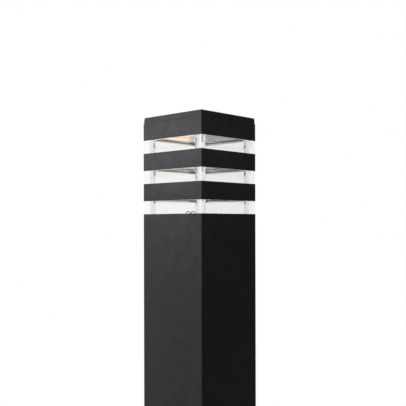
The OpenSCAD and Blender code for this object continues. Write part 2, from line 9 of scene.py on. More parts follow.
import bmesh
import bpy
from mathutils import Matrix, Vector


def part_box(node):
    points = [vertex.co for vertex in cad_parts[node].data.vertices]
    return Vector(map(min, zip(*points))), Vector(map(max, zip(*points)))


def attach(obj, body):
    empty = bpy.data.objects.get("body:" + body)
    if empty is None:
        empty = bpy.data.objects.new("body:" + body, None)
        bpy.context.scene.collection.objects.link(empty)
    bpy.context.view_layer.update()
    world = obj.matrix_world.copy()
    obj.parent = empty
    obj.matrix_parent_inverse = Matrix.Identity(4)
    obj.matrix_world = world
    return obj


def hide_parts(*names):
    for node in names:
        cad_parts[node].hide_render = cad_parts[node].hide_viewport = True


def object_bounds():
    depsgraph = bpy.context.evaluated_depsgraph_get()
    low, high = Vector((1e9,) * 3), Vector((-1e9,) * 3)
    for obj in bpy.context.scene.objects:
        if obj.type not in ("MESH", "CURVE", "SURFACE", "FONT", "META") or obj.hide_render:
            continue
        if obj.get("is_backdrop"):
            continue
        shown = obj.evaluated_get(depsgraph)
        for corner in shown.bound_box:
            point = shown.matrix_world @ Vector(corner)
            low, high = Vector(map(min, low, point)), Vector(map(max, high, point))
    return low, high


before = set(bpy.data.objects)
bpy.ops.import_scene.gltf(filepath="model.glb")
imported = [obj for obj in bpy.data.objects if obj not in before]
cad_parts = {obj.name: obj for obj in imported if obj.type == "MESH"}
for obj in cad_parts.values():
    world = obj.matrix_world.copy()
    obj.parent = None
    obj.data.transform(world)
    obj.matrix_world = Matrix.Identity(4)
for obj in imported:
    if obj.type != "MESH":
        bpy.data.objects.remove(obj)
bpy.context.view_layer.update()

MM = 0.001

# %% [markdown]
# ## Camera
# A product picture of a post is taken with a short telephoto lens, level, so that the
# upright edges stay parallel. The camera stands a metre away at one corner, just below the
# windows, and the frame is shifted a little sideways and up instead of tilting the camera.

# %% Camera
camera_distance = 1.0407
camera_turn = math.radians(-46.738)
below_post_top = 14.73 * MM
post_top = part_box("post_tube")[1].z

lens = bpy.data.cameras.new("camera")
lens.sensor_width = 36.0
lens.lens = 60.96
lens.shift_x = 0.0080
lens.shift_y = 0.0514
lens.clip_start = 0.02
camera = bpy.data.objects.new("camera", lens)
bpy.context.scene.collection.objects.link(camera)
toward_camera = Vector((math.sin(camera_turn), -math.cos(camera_turn), 0))
camera.location = toward_camera * camera_distance + Vector((0, 0, post_top - below_post_top))
camera.rotation_euler = (math.pi / 2, math.radians(0.13), camera_turn)
bpy.context.scene.camera = camera
print("camera at", [round(v, 3) for v in camera.location])

# %% [markdown]
# ## Four small helpers
# Paint makers give colours as sRGB hex values, and the renderer works in linear light, so the
# first helper turns one into the other. The second adds a node, sets it and links it, which
# keeps every material below short enough to read. The third starts a material with its constant
# values, and the last turns the real size of a grain into the scale of a pattern.

# %% Material helpers
def tone(code, alpha=1.0):
    """sRGB hex to a linear RGBA colour."""
    parts = [int(code[i:i + 2], 16) / 255 for i in (0, 2, 4)]
    linear = [p / 12.92 if p <= 0.04045 else ((p + 0.055) / 1.055) ** 2.4 for p in parts]
    return (*linear, alpha)


def add(tree, kind, inputs=None, **settings):
    """Add a node; inputs maps socket names or numbers to values or to sockets to link."""
    node = tree.nodes.new(kind)
    for name, value in settings.items():
        setattr(node, name, value)
    for key, value in (inputs or {}).items():
        if isinstance(value, bpy.types.NodeSocket):
            tree.links.new(value, node.inputs[key])
        else:
            node.inputs[key].default_value = value
    return node


def new_material(name, **surface):
    """A material with one Principled shader; surface gives its constant sockets."""
    material = bpy.data.materials.new(name)
    material.use_nodes = True
    tree = material.node_tree
    shader = tree.nodes["Principled BSDF"]
    for key, value in surface.items():
        shader.inputs[key.replace("_", " ")].default_value = value
    place = add(tree, "ShaderNodeTexCoord").outputs["Object"]
    return material, tree, shader, place


def per_metre(size_mm):
    """Scale of a pattern whose features are size_mm wide."""
    return 1 / (size_mm * MM)


print("black powder coat in linear light:", [round(v, 4) for v in tone("242527")[:3]])

# %% [markdown]
# ## Powder coat
# The post, the bands, the lid and the foot are aluminium under a fine-texture powder coat: dry
# paint, baked on. It melts into tiny orange-peel grains, about 0.3 mm apart, which spread the
# light and leave no clear reflection. We draw a fine grain of 0.7 mm and a coarser one of
# about 2 mm, because the real one is finer than the render shows, and let the coarser one
# mottle the colour as well. What the eye sees is a near-black, slightly speckled matt face.

# %% Powder coat
def powder_coat():
    material, tree, shader, place = new_material(
        "powder_coat_fine_texture", Roughness=0.62, IOR=1.45, Specular_IOR_Level=0.30)
    grain = add(tree, "ShaderNodeTexNoise", {"Vector": place, "Scale": per_metre(0.7), "Detail": 2.0})
    peel = add(tree, "ShaderNodeTexNoise",
               {"Vector": place, "Scale": per_metre(1.9), "Detail": 6.0, "Roughness": 0.75})
    cloud = add(tree, "ShaderNodeTexNoise", {"Vector": place, "Scale": per_metre(14), "Detail": 2.0})
    mottle = add(tree, "ShaderNodeMix", {"Factor": 0.2, 2: peel.outputs["Fac"], 3: cloud.outputs["Fac"]})
    colour = add(tree, "ShaderNodeValToRGB", {"Fac": mottle.outputs[0]})
    colour.color_ramp.elements[0].position = 0.42
    colour.color_ramp.elements[0].color = tone("1e1e1f")
    colour.color_ramp.elements[1].position = 0.58
    colour.color_ramp.elements[1].color = tone("2c2c2d")
    tree.links.new(colour.outputs["Color"], shader.inputs["Base Color"])
    rough = add(tree, "ShaderNodeMapRange", {"Value": peel.outputs["Fac"], "To Min": 0.55, "To Max": 0.70})
    tree.links.new(rough.outputs["Result"], shader.inputs["Roughness"])
    fine = add(tree, "ShaderNodeBump",
               {"Height": grain.outputs["Fac"], "Strength": 0.5, "Distance": 0.06 * MM})
    bump = add(tree, "ShaderNodeBump",
               {"Height": peel.outputs["Fac"], "Strength": 1.0, "Distance": 0.3 * MM,
                "Normal": fine.outputs["Normal"]})
    tree.links.new(bump.outputs["Normal"], shader.inputs["Normal"])
    return material


coat = powder_coat()
print("made", coat.name)

# %% [markdown]
# ## Clear acrylic
# The windows are thick cast acrylic with polished faces. Light goes straight through the flat
# walls and bends at the corners, where the wall reads as bright and dark upright lines. The
# refractive index of acrylic, 1.49, sets where those lines fall. The base colour is a faint
# warm grey: each face that the light passes takes a little of it away, so what lies behind a
# window looks slightly darker and warmer than it does beside it.

# %% Clear acrylic
def clear_acrylic():
    material, tree, shader, place = new_material(
        "acrylic_polished_clear", Base_Color=tone("f8f7f6"), Roughness=0.01, IOR=1.49,
        Transmission_Weight=1.0)
    ripple = add(tree, "ShaderNodeTexNoise", {"Vector": place, "Scale": per_metre(30), "Detail": 1.0})
    bump = add(tree, "ShaderNodeBump",
               {"Height": ripple.outputs["Fac"], "Strength": 0.05, "Distance": 0.1 * MM})
    tree.links.new(bump.outputs["Normal"], shader.inputs["Normal"])
    return material


acrylic = clear_acrylic()
print("made", acrylic.name, "with IOR 1.49")

# %% [markdown]
# ## Reflector sheet
# Bright anodised aluminium sheet, rolled and then folded along its diagonals. It mirrors the
# light but keeps the soft grain of the rollers, lines under a millimetre apart, so a
# reflection in it is stretched and a little blurred. The pillars are polished bar with the
# same finish, and the unpainted inside of the bands is a duller, satin one, so one recipe
# with two limits of roughness makes all three.

# %% Reflector sheet
def bright_sheet(name, smoothest, roughest):
    material, tree, shader, place = new_material(name, Base_Color=tone("eef0f0"), Metallic=1.0)
    stretch = add(tree, "ShaderNodeMapping", {"Vector": place, "Scale": (1.0, 0.04, 1.0)})
    lines = add(tree, "ShaderNodeTexNoise",
                {"Vector": stretch.outputs["Vector"], "Scale": per_metre(0.8), "Detail": 3.0})
    patch = add(tree, "ShaderNodeTexNoise", {"Vector": place, "Scale": per_metre(18), "Detail": 2.0})
    rough = add(tree, "ShaderNodeMapRange",
                {"Value": patch.outputs["Fac"], "To Min": smoothest, "To Max": roughest})
    tree.links.new(rough.outputs["Result"], shader.inputs["Roughness"])
    bump = add(tree, "ShaderNodeBump",
               {"Height": lines.outputs["Fac"], "Strength": 0.15, "Distance": 0.02 * MM})
    tree.links.new(bump.outputs["Normal"], shader.inputs["Normal"])
    return material


reflector_sheet = bright_sheet("aluminium_bright_anodised", 0.06, 0.12)
bright_bar = bright_sheet("aluminium_bright_bar", 0.06, 0.12)
satin_inside = bright_sheet("aluminium_satin_inside", 0.18, 0.24)
print("made", [m.name for m in (reflector_sheet, bright_bar, satin_inside)])

# %% [markdown]
# ## Bare metals
# Five metals are left unpainted: the cast aluminium flange, sand-rough; the galvanised tray
# with its zinc flowers; zinc-plated and stainless steel fasteners, turned and slightly
# streaked; and brass terminals. They share one recipe: a base colour that varies a little, a
# roughness that varies with it, and a bump at the size of the surface's own grain.

# %% Bare metals
def bare_metal(name, dark, light, grain_mm, rough_low, rough_high, depth_mm, pattern="noise"):
    material, tree, shader, place = new_material(name, Metallic=1.0)
    if pattern == "flowers":
        grain = add(tree, "ShaderNodeTexVoronoi", {"Vector": place, "Scale": per_metre(grain_mm)})
        value = grain.outputs["Color"]
    else:
        grain = add(tree, "ShaderNodeTexNoise",
                    {"Vector": place, "Scale": per_metre(grain_mm), "Detail": 4.0})
        value = grain.outputs["Fac"]
    colour = add(tree, "ShaderNodeMix", {"Factor": value, 6: tone(dark), 7: tone(light)}, data_type="RGBA")
    tree.links.new(colour.outputs[2], shader.inputs["Base Color"])
    rough = add(tree, "ShaderNodeMapRange", {"Value": value, "To Min": rough_low, "To Max": rough_high})
    tree.links.new(rough.outputs["Result"], shader.inputs["Roughness"])
    bump = add(tree, "ShaderNodeBump", {"Height": value, "Strength": 0.4, "Distance": depth_mm * MM})
    tree.links.new(bump.outputs["Normal"], shader.inputs["Normal"])
    return material


cast = bare_metal("aluminium_sand_cast", "8f9092", "b4b5b6", 0.9, 0.45, 0.65, 0.12)
zinc = bare_metal("steel_zinc_plated", "a6a9ab", "c9ccce", 1.5, 0.22, 0.38, 0.02)
stainless = bare_metal("steel_stainless_dark", "5d5f62", "7b7d80", 1.2, 0.25, 0.40, 0.02)
galvanised = bare_metal("steel_galvanised_sheet", "9fa4a8", "c4c8ca", 9.0, 0.30, 0.50, 0.01, "flowers")
brass = bare_metal("brass_turned", "b3914b", "d1b26c", 1.5, 0.22, 0.38, 0.02)
print("made", [m.name for m in (cast, zinc, stainless, galvanised, brass)])

# %% [markdown]
# ## Plastics and rubber
# The seals are EPDM rubber, the driver's case and the terminals are moulded plastic with the
# fine erosion of their tool, and the leads have smooth silicone or PVC sheaths. Moulded
# plastic is never quite even, so each gets a fine grain and a slow drift in colour.

# %% Plastics and rubber
def moulded(name, code, other, roughness, grain_mm, depth_mm, sheen=0.0):
    material, tree, shader, place = new_material(name, Roughness=roughness, IOR=1.5, Sheen_Weight=sheen)
    drift = add(tree, "ShaderNodeTexNoise", {"Vector": place, "Scale": per_metre(25), "Detail": 2.0})
    colour = add(tree, "ShaderNodeMix", {"Factor": drift.outputs["Fac"], 6: tone(code), 7: tone(other)},
                 data_type="RGBA")
    tree.links.new(colour.outputs[2], shader.inputs["Base Color"])
    grain = add(tree, "ShaderNodeTexNoise", {"Vector": place, "Scale": per_metre(grain_mm), "Detail": 2.0})
    bump = add(tree, "ShaderNodeBump",
               {"Height": grain.outputs["Fac"], "Strength": 0.4, "Distance": depth_mm * MM})
    tree.links.new(bump.outputs["Normal"], shader.inputs["Normal"])
    return material


rubber = moulded("rubber_epdm", "191a1b", "222324", 0.8, 0.6, 0.05, sheen=0.15)
board_white = moulded("solder_mask_white", "eef0ee", "e2e5e3", 0.35, 1.2, 0.01)
phosphor = moulded("silicone_phosphor", "e8c04e", "dba93a", 0.55, 0.8, 0.03)
black_plastic = moulded("polycarbonate_black", "18191a", "202122", 0.4, 0.5, 0.02)
case_plastic = moulded("abs_off_white", "e3e2dc", "d9d8d1", 0.45, 0.5, 0.03)
terminal_plastic = moulded("polyamide_natural", "ece9df", "e0dccf", 0.4, 0.5, 0.02)
lead_grey = moulded("silicone_sheath_grey", "a8a1a3", "989193", 0.45, 0.6, 0.01)
lead_brown = moulded("pvc_sheath_brown", "5b3a24", "4c2f1c", 0.35, 0.6, 0.01)
lead_green = moulded("pvc_sheath_green", "4f8a34", "5c9a3a", 0.35, 0.6, 0.01)
print("made", [m.name for m in (rubber, board_white, phosphor, black_plastic, case_plastic)])

# %% [markdown]
# ## A finish for every CAD node
# The CAD nodes keep their shape, and each one gets its real finish in place of the plain one
# that came with the model. Pieces that we rebuild further down replace some of them.

# %% Finish the CAD nodes
finishes = {
    coat: ["ground_base", "post_tube", "band_low", "band_mid", "band_cap", "lid"],
    acrylic: ["ring_low", "ring_mid", "ring_top", "led_lens"],
    reflector_sheet: ["reflector_low", "reflector_mid", "reflector_cap", "reflector_rivets",
                      "corner_pillars"],
    cast: ["head_flange", "side_lugs"],
    zinc: ["press_nuts", "flange_screws", "board_screws", "ring_screws", "band_screws", "tray_screws",
           "driver_screws", "clamp_screws"],
    stainless: ["lid_screws", "grub_right", "grub_back", "grub_left", "grub_front"],
    galvanised: ["gear_tray"],
    brass: ["terminal_screws", "earth_stud", "earth_nuts"],
    rubber: ["ring_seals", "lid_gasket", "lead_grommet"],
    board_white: ["led_board"],
    phosphor: ["led_emitter"],
    black_plastic: ["lens_holder"],
    case_plastic: ["led_driver"],
    terminal_plastic: ["terminal_block", "cable_clamp"],
    lead_grey: ["led_leads"],
    lead_brown: ["driver_leads"],
    lead_green: ["earth_lead"],
}
for material, names in finishes.items():
    for name in names:
        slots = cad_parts[name].data.materials
        slots.clear()
        slots.append(material)
print("finished", sum(len(names) for names in finishes.values()), "of", len(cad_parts), "nodes")

# %% [markdown]
# ## Eased edges
# No real edge is perfectly sharp: castings have a small radius, cut sheet is deburred, and
# paint rounds both. That thin rounded strip is what catches the light and makes an edge read.
# We could model each part again, but its holes and bosses are already right in the CAD model,
# so we take a copy of it, merge its loose triangles into whole faces and bevel the edges.
# The bands are painted only outside: their inner walls stay bare metal, which keeps the light
# chambers bright, so faces that lie wholly inside the wall get the satin finish instead.

# %% Ease the edges of the larger parts
SMOOTH_ANGLE = math.radians(32)


def plain_mesh(obj, name):
    """The evaluated mesh of obj, shaded smooth between its sharp edges."""
    graph = bpy.context.evaluated_depsgraph_get()
    mesh = bpy.data.meshes.new_from_object(obj.evaluated_get(graph))
    mesh.name = name
    mesh.shade_smooth()
    mesh.set_sharp_from_angle(angle=SMOOTH_ANGLE)
    return mesh


def keep_piece(name, mesh, material, nodes, body="post"):
    """Put a finished mesh in the scene in place of its CAD nodes."""
    mesh.materials.clear()
    mesh.materials.append(material)
    piece = bpy.data.objects.new(name, mesh)
    bpy.context.scene.collection.objects.link(piece)
    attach(piece, body)
    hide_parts(*nodes)
    return piece


def ease(node, ease_mm, material, body="post"):
    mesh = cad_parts[node].data.copy()
    shape = bmesh.new()
    shape.from_mesh(mesh)
    bmesh.ops.remove_doubles(shape, verts=shape.verts, dist=0.001 * MM)
    bmesh.ops.dissolve_limit(shape, verts=shape.verts, edges=shape.edges, angle_limit=math.radians(0.5))
    shape.to_mesh(mesh)
    shape.free()
    rough = bpy.data.objects.new(node, mesh)
    bpy.context.scene.collection.objects.link(rough)
    bevel = rough.modifiers.new("ease", "BEVEL")
    bevel.width = ease_mm * MM
    bevel.segments = 2
    bevel.limit_method = "ANGLE"
    bevel.angle_limit = math.radians(40)
    finished = plain_mesh(rough, node + "_eased")
    bpy.data.objects.remove(rough)
    return keep_piece(node + "_eased", finished, material, [node], body)


def line_inside(piece, material, reach):
    """Give another finish to the faces that lie wholly inside a square of half width reach."""
    mesh = piece.data
    mesh.materials.append(material)
    for face in mesh.polygons:
        corners = [mesh.vertices[i].co for i in face.vertices]
        if max(max(abs(c.x), abs(c.y)) for c in corners) < reach:
            face.material_index = 1


eased_parts = [
    ("post_tube", 0.35, coat, "powder_coat"), ("band_low", 0.35, coat, "powder_coat"),
    ("band_mid", 0.35, coat, "powder_coat"), ("band_cap", 0.35, coat, "powder_coat"),
    ("lid", 0.35, coat, "powder_coat"), ("head_flange", 0.3, cast, "cast_aluminium"),
    ("side_lugs", 0.4, cast, "cast_aluminium"), ("gear_tray", 0.2, galvanised, "galvanised_sheet"),
    ("led_driver", 0.8, case_plastic, "driver_case"), ("lens_holder", 0.3, black_plastic, "black_plastic"),
    ("terminal_block", 0.4, terminal_plastic, "terminal_plastic"),
    ("cable_clamp", 0.4, terminal_plastic, "terminal_plastic"),
    ("lid_screws", 0.12, stainless, "dark_stainless"), ("press_nuts", 0.15, zinc, "zinc_steel"),
]
wall_thickness = 3 * MM
inside_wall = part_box("band_mid")[1].x - wall_thickness + 0.2 * MM
for node, ease_mm, material, slot_name in eased_parts:
    piece = ease(node, ease_mm, material)
    if node.startswith("band_"):
        line_inside(piece, satin_inside, inside_wall)
ease("ground_base", 0.5, coat, "ground")
for side in ("right", "back", "left", "front"):
    ease("grub_" + side, 0.2, stainless, "grub_" + side)
print("eased", len(eased_parts) + 5, "parts")

# %% [markdown]
# ## Clear windows
# Each window is one thick square frame of acrylic with a tongue above and below, and the
# tongues are cemented on. Light that enters near a corner runs along inside the wall and is
# turned back by the flat polished top and bottom, so the corners stay bright. To get that we
# cut the CAD frame into wall and tongues, with a hair's breadth of air between them.

# %% Cut the windows into wall and tongues
HAIR = 0.02 * MM


def cut_flat(mesh, low, high):
    """Keep what lies between two heights, and close the cuts."""
    shape = bmesh.new()
    shape.from_mesh(mesh)
    bmesh.ops.remove_doubles(shape, verts=shape.verts, dist=0.001 * MM)
    for height, side in ((low, -1), (high, 1)):
        everything = list(shape.verts) + list(shape.edges) + list(shape.faces)
        made = bmesh.ops.bisect_plane(shape, geom=everything, plane_co=(0, 0, height), plane_no=(0, 0, side),
                                      clear_outer=True)
        rim = [e for e in made["geom_cut"] if isinstance(e, bmesh.types.BMEdge)]
        if rim:
            bmesh.ops.triangle_fill(shape, edges=rim, use_beauty=True)
    bmesh.ops.recalc_face_normals(shape, faces=shape.faces)
    return shape


def window(node, tongue):
    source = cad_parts[node].data
    low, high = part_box(node)
    wall_low, wall_high = low.z + tongue, high.z - tongue
    slices = [(low.z - tongue, wall_low - HAIR), (wall_low + HAIR, wall_high - HAIR),
              (wall_high + HAIR, high.z + tongue)]
    together = bmesh.new()
    for slice_low, slice_high in slices:
        shape = cut_flat(source, slice_low, slice_high)
        part = bpy.data.meshes.new("slice")
        shape.to_mesh(part)
        shape.free()
        together.from_mesh(part)
        bpy.data.meshes.remove(part)
    mesh = bpy.data.meshes.new(node + "_cemented")
    together.to_mesh(mesh)
    together.free()
    return keep_piece(node + "_cemented", mesh, acrylic, [node])


tongue = 6 * MM
for node in ("ring_low", "ring_mid", "ring_top"):
    piece = window(node, tongue)
    print(piece.name, len(piece.data.polygons), "faces")

# %% [markdown]
# ## Places of the small parts
# Screws, rivets and pillars repeat. In the CAD model each set is one node, so we split the
# node into its separate bodies and take the box of each: that gives every place and size.

# %% Find each separate body in a node
def bodies_in(node):
    """The (low, high) corners of each separate body in a CAD node."""
    shape = bmesh.new()
    shape.from_mesh(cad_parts[node].data)
    bmesh.ops.remove_doubles(shape, verts=shape.verts, dist=0.001 * MM)
    left = set(shape.verts)
    found = []
    while left:
        group, edge = set(), [left.pop()]
        while edge:
            vert = edge.pop()
            group.add(vert)
            for link in vert.link_edges:
                other = link.other_vert(vert)
                if other in left:
                    left.discard(other)
                    edge.append(other)
        points = [v.co for v in group]
        found.append((Vector([min(p[i] for p in points) for i in range(3)]),
                      Vector([max(p[i] for p in points) for i in range(3)])))
    shape.free()
    return found


print("bodies in ring_screws:", len(bodies_in("ring_screws")))

# %% [markdown]
# ## Cap screws
# A socket screw is a turned cylinder: a shank, a head with a small chamfer, and a hexagonal
# socket pressed into the head. All of them have the same shape at different sizes, which is
# what Geometry Nodes are for. The tree builds one screw from its sizes, standing head up with
# the underside of its head at zero, and puts a copy on every point it is given.

# %% The cap screw tree
def tree_with(name, sizes, vectors=()):
    """A geometry node tree with a mesh of points in, a material, and named sizes."""
    tree = bpy.data.node_groups.new(name, "GeometryNodeTree")
    tree.interface.new_socket("Points", in_out="INPUT", socket_type="NodeSocketGeometry")
    tree.interface.new_socket("Geometry", in_out="OUTPUT", socket_type="NodeSocketGeometry")
    tree.interface.new_socket("Material", in_out="INPUT", socket_type="NodeSocketMaterial")
    for size in sizes:
        tree.interface.new_socket(size, in_out="INPUT", socket_type="NodeSocketFloat")
    for vector in vectors:
        tree.interface.new_socket(vector, in_out="INPUT", socket_type="NodeSocketVector")
    start = add(tree, "NodeGroupInput").outputs
    return tree, start


def maths(tree, operation, first, second):
    return add(tree, "ShaderNodeMath", {0: first, 1: second}, operation=operation).outputs[0]


def at_height(tree, geometry, height):
    """Move a part of the shape up to a height."""
    place = add(tree, "ShaderNodeCombineXYZ", {"Z": height})
    moved = add(tree, "GeometryNodeTransform", {"Geometry": geometry, "Translation": place.outputs[0]})
    return moved.outputs[0]


def end_tree(tree, start, parts, turn=None):
    """Join the parts, copy them to every point, and give them their material."""
    joined = add(tree, "GeometryNodeJoinGeometry")
    for part in parts:
        tree.links.new(part, joined.inputs[0])
    welded = add(tree, "GeometryNodeMergeByDistance", {"Geometry": joined.outputs[0], "Distance": 0.002 * MM})
    inputs = {"Points": start["Points"], "Instance": welded.outputs[0]}
    if turn is not None:
        inputs["Rotation"] = turn
    copies = add(tree, "GeometryNodeInstanceOnPoints", inputs)
    real = add(tree, "GeometryNodeRealizeInstances", {"Geometry": copies.outputs[0]})
    paint = add(tree, "GeometryNodeSetMaterial", {"Geometry": real.outputs[0], "Material": start["Material"]})
    out = add(tree, "NodeGroupOutput")
    tree.links.new(paint.outputs[0], out.inputs[0])


def tube_part(tree, low_radius, high_radius, length, sides, bottom="NONE"):
    """An open tube or cone, from zero up."""
    cone = add(tree, "GeometryNodeMeshCone", {"Vertices": sides, "Radius Bottom": low_radius,
                                              "Radius Top": high_radius, "Depth": length}, fill_type=bottom)
    return cone.outputs["Mesh"]


screw_tree, start = tree_with(
    "cap_screw",
    ["Shank radius", "Shank length", "Head radius", "Head height", "Socket radius", "Chamfer"], ["Turn"])
body_top = maths(screw_tree, "SUBTRACT", start["Head height"], start["Chamfer"])
rim = maths(screw_tree, "SUBTRACT", start["Head radius"], start["Chamfer"])
shank_low = maths(screw_tree, "MULTIPLY", start["Shank length"], -1)
shank = at_height(screw_tree, tube_part(screw_tree, start["Shank radius"], start["Shank radius"],
                                        start["Shank length"], 20, "NGON"), shank_low)
side = tube_part(screw_tree, start["Head radius"], start["Head radius"], body_top, 32, "NGON")
bevel = at_height(screw_tree, tube_part(screw_tree, start["Head radius"], rim, start["Chamfer"], 32),
                  body_top)
rim_curve = add(screw_tree, "GeometryNodeCurvePrimitiveCircle", {"Resolution": 32, "Radius": rim})
hex_curve = add(screw_tree, "GeometryNodeCurvePrimitiveCircle",
                {"Resolution": 6, "Radius": start["Socket radius"]})
both = add(screw_tree, "GeometryNodeJoinGeometry")
screw_tree.links.new(rim_curve.outputs[0], both.inputs[0])
screw_tree.links.new(hex_curve.outputs[0], both.inputs[0])
face = at_height(screw_tree, add(screw_tree, "GeometryNodeFillCurve", {"Curve": both.outputs[0]}).outputs[0],
                 start["Head height"])
depth = maths(screw_tree, "MULTIPLY", start["Head height"], 0.6)
floor_z = maths(screw_tree, "SUBTRACT", start["Head height"], depth)
socket = tube_part(screw_tree, start["Socket radius"], start["Socket radius"], depth, 6, "NGON")
socket = at_height(screw_tree, add(screw_tree, "GeometryNodeFlipFaces", {"Mesh": socket}).outputs[0], floor_z)
end_tree(screw_tree, start, [shank, side, bevel, face, socket], start["Turn"])
print("cap screw tree has", len(screw_tree.nodes), "nodes")

# %% [markdown]
# A modifier with the tree goes on a mesh of points, one for each screw. Its inputs are set by
# their identifiers before anything is evaluated, and the result is kept as a plain mesh.

# %% Grow copies on points
def grow(tree, name, points, material, sizes, nodes, body="post"):
    mesh = bpy.data.meshes.new(name)
    mesh.from_pydata([tuple(p) for p in points], [], [])
    holder = bpy.data.objects.new(name, mesh)
    bpy.context.scene.collection.objects.link(holder)
    modifier = holder.modifiers.new("copies", "NODES")
    modifier.node_group = tree
    sockets = {s.name: s.identifier for s in tree.interface.items_tree if s.in_out == "INPUT"}
    modifier[sockets["Material"]] = material
    for key, value in sizes.items():
        modifier[sockets[key]] = value
    finished = plain_mesh(holder, name)
    bpy.data.objects.remove(holder)
    return keep_piece(name, finished, material, nodes, body)


def cap_screws(node, head_mm, turn=(0.0, 0.0, 0.0)):
    """Replace a node of cap screws; turn leans them from head up to the way they really face."""
    axis = 2 if turn[0] in (0.0, math.pi) else 1
    up = turn[0] == 0.0
    boxes = bodies_in(node)
    low, high = boxes[0]
    across = (high.x - low.x) / 2
    length = high[axis] - low[axis]
    points = []
    for low, high in boxes:
        seat = (low + high) / 2
        seat[axis] = high[axis] - head_mm * MM if up else low[axis] + head_mm * MM
        points.append(seat)
    sizes = {"Shank radius": across / 1.8, "Shank length": length - head_mm * MM, "Head radius": across,
             "Head height": head_mm * MM, "Socket radius": across * 0.52, "Chamfer": 0.25 * MM, "Turn": turn}
    piece = grow(screw_tree, node + "_turned", points, zinc, sizes, [node])
    print(node, len(points), "screws, heads", round(2 * across / MM, 1), "mm across")
    return piece


cap_screws("flange_screws", 2.6)
cap_screws("board_screws", 1.8)
cap_screws("ring_screws", 1.8)
cap_screws("band_screws", 1.8)
cap_screws("tray_screws", 2.6, (math.pi, 0.0, 0.0))
cap_screws("driver_screws", 1.8, (math.pi / 2, 0.0, 0.0))
cap_screws("clamp_screws", 1.8, (math.pi / 2, 0.0, 0.0))

# %% [markdown]
# ## Corner pillars
# Four bright pillars stand inside the corners of each window and carry the weight of the head.
# They are turned from bar, with a fine chamfer and a short locating pin at both ends. The same
# way as for the screws, one pillar is built from its sizes and copied to twelve points.

# %% Corner pillars
pillar_tree, start = tree_with("corner_pillar", ["Radius", "Length", "Chamfer", "Pin radius", "Pin length"])
inner = maths(pillar_tree, "SUBTRACT", start["Radius"], start["Chamfer"])
twice = maths(pillar_tree, "MULTIPLY", start["Chamfer"], 2)
shaft_length = maths(pillar_tree, "SUBTRACT", start["Length"], twice)
shaft_top = maths(pillar_tree, "SUBTRACT", start["Length"], start["Chamfer"])
pin_low = maths(pillar_tree, "MULTIPLY", start["Pin length"], -1)
pin_shape = [start["Pin radius"], start["Pin radius"], start["Pin length"], 16, "NGON"]
low_chamfer = tube_part(pillar_tree, inner, start["Radius"], start["Chamfer"], 40, "NGON")
shaft = tube_part(pillar_tree, start["Radius"], start["Radius"], shaft_length, 40)
top_chamfer = tube_part(pillar_tree, start["Radius"], inner, start["Chamfer"], 40, "NGON")
parts = [
    low_chamfer,
    at_height(pillar_tree, shaft, start["Chamfer"]),
    at_height(pillar_tree, top_chamfer, shaft_top),
    at_height(pillar_tree, tube_part(pillar_tree, *pin_shape), pin_low),
    at_height(pillar_tree, tube_part(pillar_tree, *pin_shape), start["Length"]),
]
end_tree(pillar_tree, start, parts)
pin_l = 1.2 * MM
pillars = bodies_in("corner_pillars")
low, high = pillars[0]
places = [((a.x + b.x) / 2, (a.y + b.y) / 2, a.z + pin_l) for a, b in pillars]
grow(pillar_tree, "corner_pillars_turned", places, bright_bar,
     {"Radius": (high.x - low.x) / 2, "Length": high.z - low.z - 2 * pin_l, "Chamfer": 0.4 * MM,
      "Pin radius": 1.5 * MM, "Pin length": pin_l}, ["corner_pillars"])
print(len(places), "pillars")

# %% [markdown]
# ## Rivets
# The reflectors hang from the webs on soft aluminium rivets with a low dome under the sheet.
# A dome is the top of a flattened ball, so the tree squashes a sphere for each end and joins
# the two with the shank and with the flat collar that the sheet rests on.

# %% Rivets
rivet_tree, start = tree_with(
    "rivet", ["Shank radius", "Length", "Head radius", "Head height", "Collar radius", "Collar low",
              "Collar height"])
ball = add(rivet_tree, "GeometryNodeMeshUVSphere",
           {"Segments": 24, "Rings": 12, "Radius": start["Head radius"]})
flat = maths(rivet_tree, "DIVIDE", start["Head height"], start["Head radius"])
squash = add(rivet_tree, "ShaderNodeCombineXYZ", {"X": 1.0, "Y": 1.0, "Z": flat})
dome = add(rivet_tree, "GeometryNodeTransform",
           {"Geometry": ball.outputs[0], "Scale": squash.outputs[0]}).outputs[0]
dome_low = at_height(rivet_tree, dome, start["Head height"])
dome_top_z = maths(rivet_tree, "SUBTRACT", start["Length"], start["Head height"])
dome_high = at_height(rivet_tree, dome, dome_top_z)
shank_length = maths(rivet_tree, "SUBTRACT", dome_top_z, start["Head height"])
shank = tube_part(rivet_tree, start["Shank radius"], start["Shank radius"], shank_length, 20)
pin = at_height(rivet_tree, shank, start["Head height"])
ring = tube_part(rivet_tree, start["Collar radius"], start["Collar radius"], start["Collar height"], 24,
                 "NGON")
collar = at_height(rivet_tree, ring, start["Collar low"])
end_tree(rivet_tree, start, [dome_low, dome_high, pin, collar])
rivets = bodies_in("reflector_rivets")
low, high = rivets[0]
places = [((a.x + b.x) / 2, (a.y + b.y) / 2, a.z) for a, b in rivets]
head_r = (high.x - low.x) / 2
grow(rivet_tree, "reflector_rivets_domed", places, reflector_sheet,
     {"Shank radius": 0.55 * head_r, "Length": high.z - low.z, "Head radius": head_r,
      "Head height": 0.9 * MM, "Collar radius": 0.9 * head_r, "Collar low": 2.3 * MM,
      "Collar height": 0.7 * MM},
     ["reflector_rivets"])
print(len(places), "rivets")

# %% [markdown]
# ## Seals and gasket
# Each tongue wears a square rubber seal, and a gasket lies between the lid and the top band,
# where it reads as a thin dark line. All seven are one shape with different numbers: a flat
# strip swept around a square with rounded corners. The rule goes into a tree: the path is a
# square with filleted corners, the profile is a rectangle, and the sweep is Curve to Mesh.
# The fillet is a little more than half the strip, so its inner edge never crosses itself.

